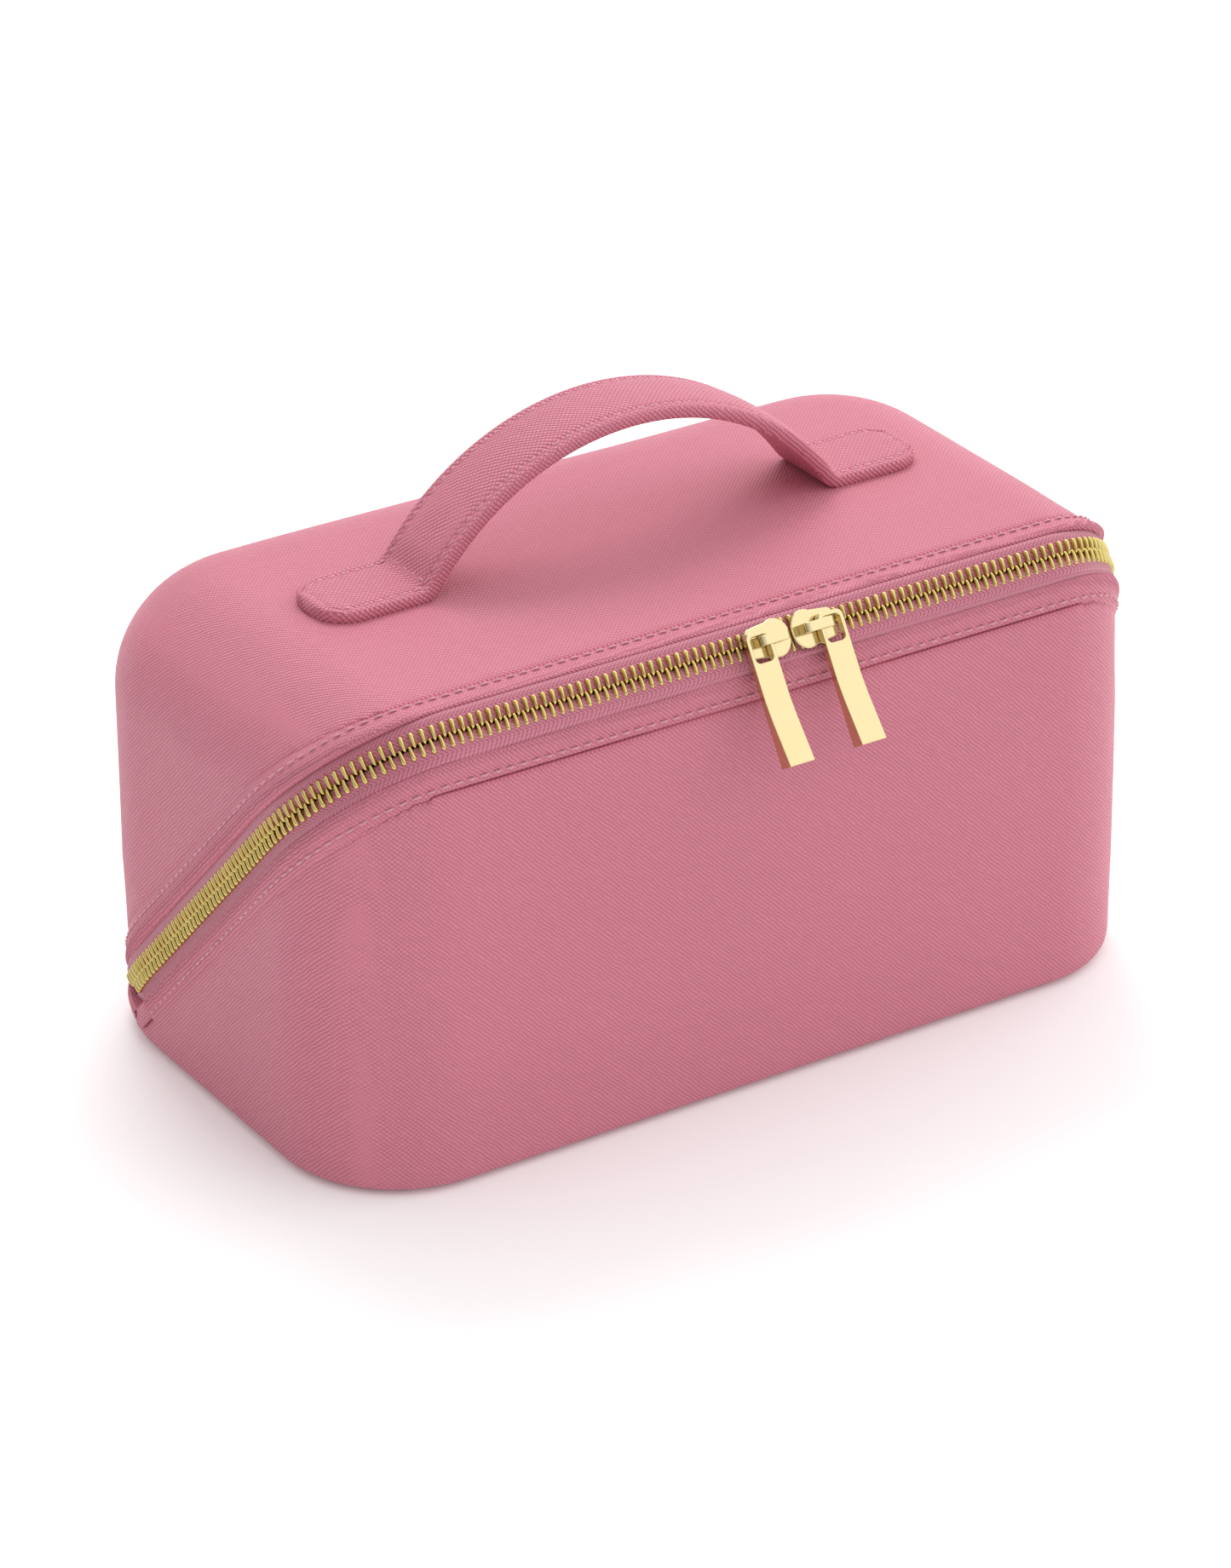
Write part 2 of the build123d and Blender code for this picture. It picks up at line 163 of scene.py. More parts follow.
def ring_of_hits(tree, centre, e1, e2, first, last, count):
    """Where rays towards centre meet the near side of the tree, between two angles in plane e1, e2."""
    hits = np.full((count, 3), np.nan)
    for index in range(count):
        angle = math.radians(first + (last - first) * index / (count - 1))
        way = e1 * math.cos(angle) + e2 * math.sin(angle)
        point = tree.ray_cast(centre + way * REACH, -way)[0]
        if point is not None and (point - centre).dot(way) > NEAR_SIDE:
            hits[index] = point
    return hits


def arch_rows(tree, levels, lowest):
    """Matching rows of points round the front and the ends, one row for each level across the zip."""
    rows = []
    for level in levels:
        rows.append(ring_of_hits(tree, ACROSS * level + OUT * ARCH_CENTRE, X, OUT, *ARCH_SWEEP))
    rows = np.array(rows)
    keep = np.isfinite(rows).all(axis=(0, 2)) & (rows[:, :, 2].min(axis=0) > lowest)
    at_end = np.abs(rows[:, :, 0]).min(axis=0) > HALF - END_ZONE
    rows = rows[:, keep & (at_end | (rows[:, :, 2].min(axis=0) > LOW_ZONE))]
    return rows[:, END_TRIM:-END_TRIM]


def back_rows(tree, heights, foremost):
    """Matching rows of points round the back, one for each height, behind the feet of the arch."""
    rows = []
    for height in heights:
        rows.append(ring_of_hits(tree, Vector((0, BACK_CENTRE, height)), X, Y, *BACK_SWEEP))
    rows = np.array(rows)
    keep = np.isfinite(rows).all(axis=(0, 2)) & (rows[:, :, 1].min(axis=0) > foremost)
    return rows[:, keep]


def spaced(rows, pitch):
    """The rows' points again, at an even pitch along the first row."""
    steps = np.linalg.norm(np.diff(rows[0], axis=0), axis=1)
    along = np.r_[0, np.cumsum(steps)]
    count = max(int(along[-1] / pitch) + 1, 2)
    places = np.linspace(0, along[-1], count)
    even = np.array([[np.interp(places, along, row[:, axis]) for axis in range(3)] for row in rows])
    return places, even.transpose(0, 2, 1)


def smooth_path(rows, passes):
    for _ in range(passes):
        rows[:, 1:-1] = (rows[:, :-2] + 2 * rows[:, 1:-1] + rows[:, 2:]) / 4
    return rows


def unit(vectors):
    return vectors / np.maximum(np.linalg.norm(vectors, axis=-1, keepdims=True), 1e-12)


def frames_along(near, far):
    """Tangent, direction from near to far and outward normal at each point."""
    tangent = unit(np.gradient(near, axis=0))
    width = unit(far - near)
    normal = unit(np.cross(tangent, width))
    middle = np.array([0, 0.0, 0.06])
    if np.sum(normal * (near - middle)) < 0:
        normal = -normal
    return tangent, width, normal


# ----------------------------------------------------------------------------------- mesh making
def add_piece(name, verts, faces, body, material, replaced=(), uvs=None):
    mesh = bpy.data.meshes.new(name)
    mesh.from_pydata([tuple(vert) for vert in verts], [], faces)
    mesh.update()
    if uvs is not None:
        layer = mesh.uv_layers.new(name="UVMap")
        loops = np.zeros(len(mesh.loops), dtype=np.int32)
        mesh.loops.foreach_get("vertex_index", loops)
        layer.data.foreach_set("uv", np.asarray(uvs, dtype=np.float32)[loops].ravel())
    mesh.polygons.foreach_set("use_smooth", [True] * len(mesh.polygons))
    piece = bpy.data.objects.new(name, mesh)
    bpy.context.scene.collection.objects.link(piece)
    mesh.materials.append(material)
    if body:
        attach(piece, body)
    if replaced:
        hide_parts(*replaced)
    return piece


def grid_faces(rows, columns, first=0, around=False):
    faces = []
    wrap = columns if around else columns - 1
    for row in range(rows - 1):
        for column in range(wrap):
            a = first + row * columns + column
            b = first + row * columns + (column + 1) % columns
            faces.append((a, b, b + columns, a + columns))
    return faces


def end_caps(rows, columns, first=0):
    """Faces that close a tube of rows rings, each of columns points."""
    last = first + (rows - 1) * columns
    return [tuple(first + k for k in reversed(range(columns))), tuple(last + k for k in range(columns))]


def profile(points, count):
    """Catmull-Rom curve through profile points, in millimetres, given in metres."""
    points = np.array(points, dtype=float) * MM
    padded = np.vstack([2 * points[0] - points[1], points, 2 * points[-1] - points[-2]])
    curve = []
    for place in np.linspace(0, len(points) - 1, count):
        span = min(int(place), len(points) - 2)
        t = place - span
        a, b, c, d = padded[span:span + 4]
        curve.append(0.5 * (2 * b + (c - a) * t + (2 * a - 5 * b + 4 * c - d) * t ** 2
                            + (3 * b - a - 3 * c + d) * t ** 3))
    return np.array(curve)


def sweep(near, far, section, places, ribs, plane):
    """Surface along a path: section holds (distance from near towards far, height) pairs.

    The part of the section before near lies along the cut between the halves, whose normal is plane.
    """
    tangent, width, normal = frames_along(near, far)
    cut = np.cross(tangent, np.array(plane))
    cut /= np.sum(cut * normal, axis=1, keepdims=True)
    verts = np.zeros((len(near), len(section), 3))
    for column, (across, height) in enumerate(section):
        wave = np.sin(2 * np.pi * (places + 0.8 * across) / RIB_PITCH)
        bump = height + RIB_DEPTH * ribs[column] * np.maximum(wave, -0.5)
        share = min(max(across / (1.5 * MM), 0.0), 1.0)
        verts[:, column] = near + width * across + (cut * (1 - share) + normal * share) * bump[:, None]
    return verts


def smooth_shade(piece):
    piece.data.polygons.foreach_set("use_smooth", [True] * len(piece.data.polygons))


# ------------------------------------------------------------------------------------- materials
def new_material(name):
    material = bpy.data.materials.new(name)
    material.use_nodes = True
    tree = material.node_tree
    shader = tree.nodes["Principled BSDF"]
    return material, tree, shader


def node(tree, kind, **values):
    made = tree.nodes.new(kind)
    for key, value in values.items():
        setattr(made, key, value)
    return made


def math_node(tree, operation, a, b=None):
    made = node(tree, "ShaderNodeMath", operation=operation)
    for socket, value in zip(made.inputs, (a, b)):
        if value is None:
            continue
        if isinstance(value, (int, float)):
            socket.default_value = value
        else:
            tree.links.new(value, socket)
    return made.outputs[0]


def times(tree, value, factor):
    return math_node(tree, "MULTIPLY", value, factor)


def mix_colour(tree, factor, a, b):
    made = node(tree, "ShaderNodeMix", data_type="RGBA")
    tree.links.new(factor, made.inputs[0])
    for socket, value in ((made.inputs[6], a), (made.inputs[7], b)):
        if isinstance(value, tuple):
            socket.default_value = (*value, 1.0)
        else:
            tree.links.new(value, socket)
    return made.outputs[2]


def ridge(tree, value, pitch):
    """1 on lines at a pitch along value, falling smoothly to 0 between them."""
    wave = math_node(tree, "SINE", times(tree, value, math.pi / pitch))
    return math_node(tree, "ABSOLUTE", wave)


def noise_node(tree, vector, scale, detail=3.0):
    made = node(tree, "ShaderNodeTexNoise")
    made.inputs["Scale"].default_value = scale
    made.inputs["Detail"].default_value = detail
    tree.links.new(vector, made.inputs["Vector"])
    return made.outputs["Fac"]


def hatch(tree, a, b, pitch):
    """Height of a diagonal cross-hatched grain over two coordinates."""
    one = ridge(tree, math_node(tree, "ADD", a, b), pitch * math.sqrt(2))
    two = ridge(tree, math_node(tree, "SUBTRACT", a, b), pitch * math.sqrt(2))
    return times(tree, math_node(tree, "POWER", one, 0.8), math_node(tree, "POWER", two, 0.35))


def triplanar_hatch(tree, pitch):
    """The grain on surfaces of any direction, blended by how they face."""
    place = node(tree, "ShaderNodeTexCoord")
    wobble = noise_node(tree, place.outputs["Object"], 260.0, 2.0)
    shift = times(tree, math_node(tree, "SUBTRACT", wobble, 0.5), 0.7 * MM)
    spot = node(tree, "ShaderNodeSeparateXYZ")
    tree.links.new(place.outputs["Object"], spot.inputs[0])
    facing = node(tree, "ShaderNodeSeparateXYZ")
    tree.links.new(place.outputs["Normal"], facing.inputs[0])
    x, y, z = (math_node(tree, "ADD", spot.outputs[axis], shift) for axis in range(3))
    parts, weights = [], []
    for axis, (a, b) in enumerate(((y, z), (x, z), (x, y))):
        weight = math_node(tree, "POWER", math_node(tree, "ABSOLUTE", facing.outputs[axis]), 6.0)
        parts.append(times(tree, hatch(tree, a, b, pitch), weight))
        weights.append(weight)
    total, share = (reduce(lambda one, other: math_node(tree, "ADD", one, other), values)
                    for values in (parts, weights))
    return math_node(tree, "DIVIDE", total, share), place


def add_bump(tree, shader, height, distance, strength=1.0):
    bump = node(tree, "ShaderNodeBump")
    bump.inputs["Distance"].default_value = distance
    bump.inputs["Strength"].default_value = strength
    tree.links.new(height, bump.inputs["Height"])
    tree.links.new(bump.outputs["Normal"], shader.inputs["Normal"])


def saffiano(name, pitch, depth):
    """Cross-hatched faux leather with a soft sheen, with painted shade darkening the grain's grooves."""
    material, tree, shader = new_material(name)
    height, place = triplanar_hatch(tree, pitch)
    cloud = noise_node(tree, place.outputs["Object"], 18.0)
    fine = noise_node(tree, place.outputs["Object"], 900.0, 2.0)
    raised = math_node(tree, "ADD", height, times(tree, fine, 0.25))
    # painted shade: the grain's low grooves are darkened, as shade would fall in them
    groove_shade = times(tree, math_node(tree, "SUBTRACT", 1.0, height), 0.60)
    body = mix_colour(tree, groove_shade, PINK, PINK_SHADE)
    pale = tuple(min(c * 1.25, 1.0) for c in PINK)
    worn = mix_colour(tree, times(tree, cloud, 0.16), body, pale)
    tree.links.new(worn, shader.inputs["Base Color"])
    rough = math_node(tree, "ADD", times(tree, height, -0.10), 0.56)
    tree.links.new(rough, shader.inputs["Roughness"])
    shader.inputs["Specular IOR Level"].default_value = 0.24
    shader.inputs["Sheen Weight"].default_value = 0.03
    add_bump(tree, shader, raised, depth)
    return material


def woven(name, colour, shade_colour, pitch, depth, chevron=0.0):
    """Woven cloth, or with chevron a herringbone along the piece's own length, from its UVs, with painted
    shade in the weave's low parts.
    """
    material, tree, shader = new_material(name)
    place = node(tree, "ShaderNodeTexCoord")
    spot = node(tree, "ShaderNodeSeparateXYZ")
    tree.links.new(place.outputs["UV" if chevron else "Object"], spot.inputs[0])
    x, y, z = spot.outputs
    if chevron:
        zigzag = math_node(tree, "PINGPONG", y, chevron)
        twill = ridge(tree, math_node(tree, "ADD", x, times(tree, zigzag, 1.2)), pitch)
        cross = ridge(tree, y, pitch * 0.6)
    else:
        twill = ridge(tree, math_node(tree, "ADD", x, y), pitch)
        cross = ridge(tree, math_node(tree, "ADD", z, times(tree, y, 0.37)), pitch)
    height = math_node(tree, "ADD", times(tree, twill, 0.7), times(tree, cross, 0.3))
    fuzz = noise_node(tree, place.outputs["Object"], 2500.0, 2.0)
    height = math_node(tree, "ADD", height, times(tree, fuzz, 0.3))
    # painted shade: where the weave is low its colour is mixed towards the second, darker colour
    deep = math_node(tree, "SUBTRACT", 1.0, times(tree, height, 0.8))
    tree.links.new(mix_colour(tree, deep, colour, shade_colour), shader.inputs["Base Color"])
    shader.inputs["Roughness"].default_value = 0.85
    shader.inputs["Sheen Weight"].default_value = 0.35
    add_bump(tree, shader, height, depth, 0.8)
    return material


def thread_material():
    material, tree, shader = new_material("sewing_thread")
    place = node(tree, "ShaderNodeTexCoord")
    spot = node(tree, "ShaderNodeSeparateXYZ")
    tree.links.new(place.outputs["Object"], spot.inputs[0])
    rest = math_node(tree, "ADD", spot.outputs[1], spot.outputs[2])
    ply = ridge(tree, math_node(tree, "ADD", spot.outputs[0], rest), 0.35 * MM)
    shaded = tuple(0.75 * c for c in THREAD_PINK)
    tree.links.new(mix_colour(tree, ply, shaded, THREAD_PINK), shader.inputs["Base Color"])
    shader.inputs["Roughness"].default_value = 0.6
    shader.inputs["Sheen Weight"].default_value = 0.3
    add_bump(tree, shader, ply, 0.08 * MM, 0.8)
    return material


def metal(name, colour, dull, rough, wear):
    """Polished plate with hair scratches and slightly tarnished patches."""
    material, tree, shader = new_material(name)
    place = node(tree, "ShaderNodeTexCoord")
    cloud = noise_node(tree, place.outputs["Object"], 140.0, 4.0)
    stretch = node(tree, "ShaderNodeMapping")
    stretch.inputs["Scale"].default_value = (300.0, 2600.0, 900.0)
    tree.links.new(place.outputs["Object"], stretch.inputs["Vector"])
    hairs = noise_node(tree, stretch.outputs["Vector"], 1.0, 2.0)
    tone = mix_colour(tree, times(tree, cloud, wear), colour, dull)
    tree.links.new(tone, shader.inputs["Base Color"])
    shader.inputs["Metallic"].default_value = 1.0
    tree.links.new(math_node(tree, "ADD", times(tree, hairs, 0.10), rough), shader.inputs["Roughness"])
    add_bump(tree, shader, hairs, 0.008 * MM, 0.4)
    return material


def mesh_net():
    """Open net: holes are cut by transparency between the threads."""
    material, tree, shader = new_material("pocket_net")
    place = node(tree, "ShaderNodeTexCoord")
    spot = node(tree, "ShaderNodeSeparateXYZ")
    tree.links.new(place.outputs["Object"], spot.inputs[0])
    one = ridge(tree, math_node(tree, "ADD", spot.outputs[0], spot.outputs[1]), 1.6 * MM)
    two = ridge(tree, math_node(tree, "SUBTRACT", spot.outputs[0], spot.outputs[1]), 1.6 * MM)
    threads = math_node(tree, "MAXIMUM", one, two)
    shader.inputs["Base Color"].default_value = (*NET_PINK, 1.0)
    shader.inputs["Roughness"].default_value = 0.7
    cover = node(tree, "ShaderNodeMapRange")
    cover.inputs["From Min"].default_value = 0.74
    cover.inputs["From Max"].default_value = 0.84
    cover.inputs["To Min"].default_value = 0.25
    cover.inputs["To Max"].default_value = 1.0
    tree.links.new(threads, cover.inputs["Value"])
    tree.links.new(cover.outputs[0], shader.inputs["Alpha"])
    add_bump(tree, shader, threads, 0.15 * MM, 0.8)
    return material


LEATHER = saffiano("grained_faux_leather", 0.88 * MM, 0.26 * MM)
STRAP_LEATHER = saffiano("strap_faux_leather", 1.0 * MM, 0.34 * MM)
# For the woven cloths the second colour is painted shade, mixed in where the weave is low.
TAPE_CLOTH = woven("zip_tape_cloth", PINK_TAPE, PINK_SHADE, 1.25 * MM, 0.35 * MM, chevron=2.6 * MM)
LINING = woven("lining_cloth", LINING_PINK, PINK_TAPE, 0.8 * MM, 0.10 * MM)
PAD_CLOTH = woven("divider_cloth", LINING_PINK, PINK_TAPE, 0.6 * MM, 0.06 * MM)
ELASTIC = woven("elastic_webbing", WEBBING_PINK, PINK_SHADE, 0.9 * MM, 0.2 * MM)
SEWING = thread_material()
BRIGHT_GOLD = metal("pale_gold_plate", GOLD, GOLD_DULL, 0.10, 0.5)
TEETH_GOLD = metal("zip_tooth_brass", TOOTH_GOLD, TOOTH_DULL, 0.14, 0.9)
NET = mesh_net()


# ---------------------------------------------------------------------------------------- shells
def read_points(mesh):
    """Vertex positions and normals of a mesh as arrays."""
    points = np.zeros(len(mesh.vertices) * 3)
    normals = np.zeros(len(mesh.vertices) * 3)
    mesh.vertices.foreach_get("co", points)
    mesh.vertices.foreach_get("normal", normals)
    return points.reshape(-1, 3), normals.reshape(-1, 3)


def swell(mesh, centre, half, edge):
    """Stands the walls out a little between their edges, as soft moulded foam does."""
    points, normals = read_points(mesh)
    offsets = points - np.array(centre)
    free = np.clip(1 - (offsets / np.array(half)) ** 4, 0, 1)
    share = normals ** 2
    rise = share[:, 0] * free[:, 1] * free[:, 2] + share[:, 1] * free[:, 0] * free[:, 2]
    rise += share[:, 2] * free[:, 0] * free[:, 1]
    away = np.abs(points @ np.array(ACROSS) - edge)
    rise *= np.clip(away / FADE, 0, 1) ** 2 * np.clip((points[:, 2] - 0.004) / FADE, 0, 1)
    rise[(np.sum(normals * offsets, axis=1) < 0) | (normals[:, 2] < -0.5)] = 0
    uneven = np.array([noise.noise(point) for point in points * 22])
    points += normals * (rise * SWELL * (1 + 0.5 * uneven))[:, None]
    mesh.vertices.foreach_set("co", points.ravel())
    mesh.update()


def copy_of(name, source):
    """Loose copy of a CAD node, to be reworked into a piece."""
    piece = bpy.data.objects.new(name, NODES[source].data.copy())
    bpy.context.scene.collection.objects.link(piece)
    return piece


def bake(piece):
    """Applies the piece's modifiers to its mesh."""
    mesh = bpy.data.meshes.new_from_object(piece.evaluated_get(bpy.context.evaluated_depsgraph_get()))
    piece.modifiers.clear()
    piece.data = mesh
    return mesh


def remesh(piece, voxel, passes):
    block = piece.modifiers.new("remesh", "REMESH")
    block.mode = "VOXEL"
    block.voxel_size = voxel
    smooth = piece.modifiers.new("smooth", "SMOOTH")
    smooth.factor = 0.6
    smooth.iterations = passes
    return bake(piece)


def settle(piece, body, material, source):
    """Gives a reworked copy its material and its place in the frame."""
    smooth_shade(piece)
    piece.data.materials.clear()
    piece.data.materials.append(material)
    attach(piece, body)
    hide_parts(source)
    return piece


def soft_shell(name, source, body, edge):
    """The CAD shell again with softened edges and slightly swollen walls."""
    piece = copy_of(name, source)
    mesh = remesh(piece, SHELL_VOXEL, 4)
    low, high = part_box(source)
    swell(mesh, (low + high) / 2, (high - low) / 2, edge)
    return settle(piece, body, LEATHER, source)


# -------------------------------------------------------------------------------- rims and seams
ROLL_SECTION = profile([(0.6, -4.4), (-0.3, -3.2), (-0.8, -1.8), (-0.6, -0.5), (0.3, 0.35), (1.5, 0.62),
                        (2.7, 0.42), (3.7, 0.14), (4.7, 0.08), (5.7, -0.2), (6.7, -0.6), (8.6, -1.5)], 38)
BACK_SECTION = profile([(0.25, -1.4), (0.3, -0.4), (0.8, 0.22), (1.7, 0.34), (2.7, 0.15), (3.5, -0.1),
                        (4.3, -0.45)], 16)
FOOT = SEAM_Z + 1.5 * MM     # where the slanting rolls and seams end


def ribbed(section):
    """How strongly each point of a roll's section carries the ribs."""
    return np.clip(1.3 - np.abs(section[:, 0] - 0.9 * MM) / (2.2 * MM), 0, 1)


def rolled_rim(name, body, source, edge, side):
    """Leather rolled over a rim's edge, with its grain drawn into fine slanting ribs."""
    tree = tree_of(source)
    rows = arch_rows(tree, (edge + side * 0.3 * MM, edge + side * 3.6 * MM), FOOT)
    places, rows = spaced(smooth_path(rows, 12), RIB_PITCH / 4)
    near = rows[0] - np.array(ACROSS) * side * 0.3 * MM
    verts = sweep(near, rows[1], ROLL_SECTION, places, ribbed(ROLL_SECTION), ACROSS)
    faces = grid_faces(len(places), len(ROLL_SECTION))
    return add_piece(name, verts.reshape(-1, 3), faces, body, LEATHER)


def back_roll(name, body, source, side, edge):
    """A flatter roll along the level seam round the back."""
    gap = 0.2 * MM
    foremost = (edge - ACROSS.z * SEAM_Z) / ACROSS.y + 1 * MM
    rows = back_rows(tree_of(source), (SEAM_Z + side * gap * 1.5, SEAM_Z + side * 3.2 * MM), foremost)
    places, rows = spaced(smooth_path(rows, 12), RIB_PITCH / 4)
    verts = sweep(rows[0], rows[1], BACK_SECTION, places, ribbed(BACK_SECTION), Z)
    faces = grid_faces(len(places), len(BACK_SECTION))
    return add_piece(name, verts.reshape(-1, 3), faces, body, LEATHER)


def stitch_verts(start, end, normal, sides=6):
    """Closed lozenge of thread from start to end, dipping into the leather at both ends."""
    start, end, normal = (np.array(v) for v in (start, end, normal))
    along = end - start
    way = along / np.linalg.norm(along)
    across = np.cross(way, normal)
    verts = []
    stations = ((0.0, 0.25, -0.9), (0.18, 0.85, -0.1), (0.5, 1.0, 0.25), (0.82, 0.85, -0.1),
                (1.0, 0.25, -0.9))
    for place, size, height in stations:
        centre = start + along * place + normal * THREAD * height
        for turn in range(sides):
            angle = 2 * math.pi * turn / sides
            verts.append(centre + THREAD * size * (across * math.cos(angle) + normal * math.sin(angle)))
    return verts, len(stations), sides


def seam(name, body, points, normals):
    """Row of stitches along a line of points on a surface."""
    verts, faces = [], []
    steps = np.r_[0, np.cumsum(np.linalg.norm(np.diff(points, axis=0), axis=1))]

    def at(place):
        spot = np.array([np.interp(place, steps, points[:, axis]) for axis in range(3)])
        up = np.array([np.interp(place, steps, normals[:, axis]) for axis in range(3)])
        return spot, up / np.linalg.norm(up)

    for index in range(int(steps[-1] / STITCH_PITCH)):
        place = (index + 0.2) * STITCH_PITCH
        start, up = at(place)
        end, _ = at(place + STITCH_LENGTH)
        made, rows, sides = stitch_verts(start, end, up)
        faces += grid_faces(rows, sides, len(verts), around=True)
        faces += end_caps(rows, sides, len(verts))
        verts += made
    return add_piece(name, verts, faces, body, SEWING)


def rim_seam(name, body, source, edge, side):
    """Stitches that hold a rolled rim down."""
    rows = arch_rows(tree_of(source), (edge + side * STITCH_INSET, edge + side * 2 * MM), FOOT)
    _, rows = spaced(smooth_path(rows, 12), 1.0 * MM)
    _, _, normal = frames_along(rows[0], rows[1])
    return seam(name, body, rows[0] + normal * 0.34 * MM, normal)


# --------------------------------------------------------------------------------------- the zip
def run_on(rows, pitch, steps, sink):
    """Carries rows on past both ends along the curve they have there, sinking into the wall."""
    _, _, normal = frames_along(rows[0], rows[-1])
    for end, way in ((0, 1), (-1, -1)):
        place, second, third = (rows[:, end + way * step] for step in (0, 2, 4))
        heading = unit(place - second)
        turn = heading - unit(second - third)
        added = []
        for step in range(1, steps + 1):
            place = place + unit(heading + turn * step / 2) * pitch - normal[end] * sink
            added.append(place)
        added = np.stack(added, axis=1)
        parts = [added[:, ::-1], rows] if end == 0 else [rows, added]
        rows = np.concatenate(parts, axis=1)
    return np.arange(rows.shape[1]) * pitch, rows


TAPE_UNDER = ((1.75 * MM, 0.75 * MM), (1.0 * MM, 0.5 * MM))     # reach under the teeth, and depth there


def ribbon(name, body, source, levels, lifts, side):
    """Woven ribbon over a tape, lifted into a fold where lifts says so, and run in under the teeth."""
    rows = arch_rows(tree_of(source), levels, SEAM_Z + 0.2 * MM)
    places, rows = spaced(smooth_path(rows, 16), 1.2 * MM)
    places, rows = run_on(rows, places[1] - places[0], 5, 0.1 * MM)
    _, _, normal = frames_along(rows[0], rows[-1])
    verts = rows + normal[None] * np.array(lifts)[:, None, None] * MM
    under = [verts[0] - side * np.array(ACROSS) * reach - normal * deep for reach, deep in TAPE_UNDER]
    verts = np.concatenate([under, verts])
    across = [levels[0] - side * reach for reach, _ in TAPE_UNDER] + list(levels)
    uvs = np.zeros((len(across), len(places), 2))
    uvs[..., 0] = places
    uvs[..., 1] = np.array(across)[:, None]
    return add_piece(name, verts.reshape(-1, 3), grid_faces(len(across), len(places)), body,
                     TAPE_CLOTH, uvs=uvs.reshape(-1, 2))


TOOTH_STATIONS = (   # along the tooth from the tape to its tip: place, half width, half height
    (-1.75, 0.34, 0.55),
    (-1.60, 0.58, 0.95),
    (-1.10, 0.66, 1.15),
    (-0.40, 0.60, 1.20),
    (0.40, 0.50, 1.16),
    (1.10, 0.46, 1.05),
    (1.75, 0.44, 0.86),
    (2.15, 0.26, 0.50),
)


def tooth_verts():
    verts = []
    sides = 10
    for place, wide, high in TOOTH_STATIONS:
        for turn in range(sides):
            angle = 2 * math.pi * (turn + 0.5) / sides
            c, s = (math.copysign(abs(part) ** 0.7, part) for part in (math.cos(angle), math.sin(angle)))
            verts.append((wide * c, place, high * s))
    return np.array(verts) * MM, len(TOOTH_STATIONS), sides


def tooth_places(name):
    """Centre, length direction and outward direction of each CAD tooth."""
    mesh = bmesh.new()
    mesh.from_mesh(NODES[name].data)
    bmesh.ops.remove_doubles(mesh, verts=mesh.verts, dist=1e-6)
    seen, places = set(), []
    for vert in mesh.verts:
        if vert in seen:
            continue
        group, queue = [], [vert]
        seen.add(vert)
        while queue:
            here = queue.pop()
            group.append(here)
            for edge in here.link_edges:
                other = edge.other_vert(here)
                if other not in seen:
                    seen.add(other)
                    queue.append(other)
        centre = sum((v.co for v in group), Vector()) / len(group)
        corner = group[0].co
        spans = sorted(((v.co - corner) for v in group[1:]), key=lambda span: span.length)
        thin = spans[0].normalized()
        thick = min(spans[1:3], key=lambda span: abs(span.normalized().dot(thin)))
        places.append((centre, thin, thick.normalized()))
    mesh.free()
    return places


def zip_teeth(name, body, source, side):
    """Rounded interlocking teeth, one for each CAD tooth."""
    shape, stations, sides = tooth_verts()
    verts, faces = [], []
    for centre, thin, thick in tooth_places(source):
        outward = centre - Vector((0, 0.02, 0.04))
        if thick.dot(outward) < 0:
            thick = -thick
        along = thin.cross(thick)
        if along.dot(ACROSS) * side > 0:
            along = -along
        thin = along.cross(thick)
        turned = shape @ np.array([thin, along, thick]) + np.array(centre)
        first = len(verts)
        verts += list(turned)
        faces += grid_faces(stations, sides, first, around=True)
        faces += end_caps(stations, sides, first)
    return add_piece(name, verts, faces, body, TEETH_GOLD, replaced=(source,))


def plated(source, body):
    """Cast part again with its edges eased, so that they catch the light."""
    piece = copy_of("plated_" + source, source)
    shape = bmesh.new()
    shape.from_mesh(piece.data)
    bmesh.ops.remove_doubles(shape, verts=shape.verts, dist=1e-6)
    bmesh.ops.dissolve_limit(shape, angle_limit=math.radians(1), verts=shape.verts, edges=shape.edges)
    shape.to_mesh(piece.data)
    shape.free()
    smooth_shade(piece)
    bevel = piece.modifiers.new("bevel", "BEVEL")
    bevel.width = 0.22 * MM
    bevel.segments = 3
    bevel.limit_method = "ANGLE"
    bevel.angle_limit = math.radians(38)
    even = piece.modifiers.new("even", "WEIGHTED_NORMAL")
    even.weight = 100
    bake(piece)
    return settle(piece, body, BRIGHT_GOLD, source)


# ------------------------------------------------------------------------------------ the handle
def strap_line():
    """Points along the top of the strap from the left end to the right one, on its centre line."""
    tree = tree_of("handle_cover")
    low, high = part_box("handle_cover")
    middle = (low.y + high.y) / 2
    points = []
    for x in np.linspace(low.x + 0.2 * MM, high.x - 0.2 * MM, 900):
        hit = tree.ray_cast(Vector((x, middle, high.z + 0.05)), -Z)[0]
        points.append(hit if hit is not None else points[-1])
    return np.array([points])


def half_width(distance, wide, radius):
    """Half width of a strap with rounded ends at a distance from its end."""
    if distance >= radius:
        return wide / 2
    return wide / 2 - radius + math.sqrt(max(radius ** 2 - (radius - distance) ** 2, 0.0))


def rolled_off(inset):
    """How far the strap's rounded edge falls at a distance in from it."""
    share = min(inset / STRAP_EDGE, 1.0)
    return STRAP_EDGE * (1 - math.sqrt(max(1 - (1 - share) ** 2, 0.0)))


def channel(inset):
    """1 where the strap's stitching sinks it, falling to 0 to both sides."""
    return math.exp(-((inset - STRAP_SEAM) / GROOVE_WIDE) ** 2)


def strap_section(v, flat):
    """Height of the strap's upper face at v, from -1 to 1 across it."""
    inset = (1 - abs(v)) * STRAP_HALF
    pad = PAD_HEIGHT * flat * max(0.0, 1 - (v / 0.74) ** 2) ** 0.7
    return pad - rolled_off(inset) - GROOVE_DEEP * channel(inset)


